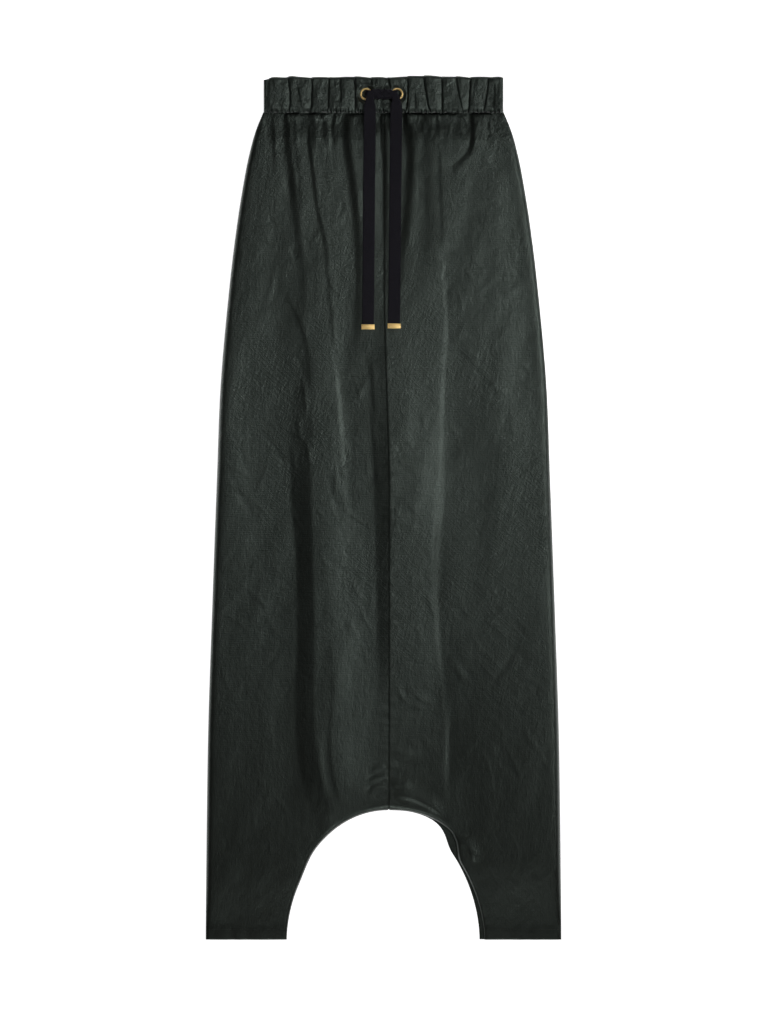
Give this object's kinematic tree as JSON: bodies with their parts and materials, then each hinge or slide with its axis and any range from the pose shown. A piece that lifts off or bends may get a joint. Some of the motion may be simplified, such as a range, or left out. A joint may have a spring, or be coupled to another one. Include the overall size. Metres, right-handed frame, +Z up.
{
  "type": "harem pants",
  "caption": "Loose drop-crotch trousers laid flat, with a gathered drawstring waistband, long soft folds and a wide arch between short narrow legs.",
  "frame": {"origin": "on the surface that the garment lies on, under the middle of its length and width", "axes": "+Z up off the surface, +Y from the hems to the waist, +X to the right of the garment as it is seen from above, front side up"},
  "size_m": [0.432, 1.05, 0.0195],
  "materials": {
    "satin": "soft satin sheen, fine crosswise ribs, very dark green",
    "tape": "matt woven flat tape, near black",
    "brass": "polished pale gold plating"
  },
  "bodies": {
    "root": {"front_left": "satin", "front_right": "satin", "back_left": "satin", "back_right": "satin", "waistband_front": "satin", "waistband_back": "satin", "eyelet_left": "brass", "eyelet_right": "brass", "drawstring_left": "tape", "drawstring_right": "tape", "drawstring_end_left": "brass", "drawstring_end_right": "brass"}
  },
  "joints": []
}
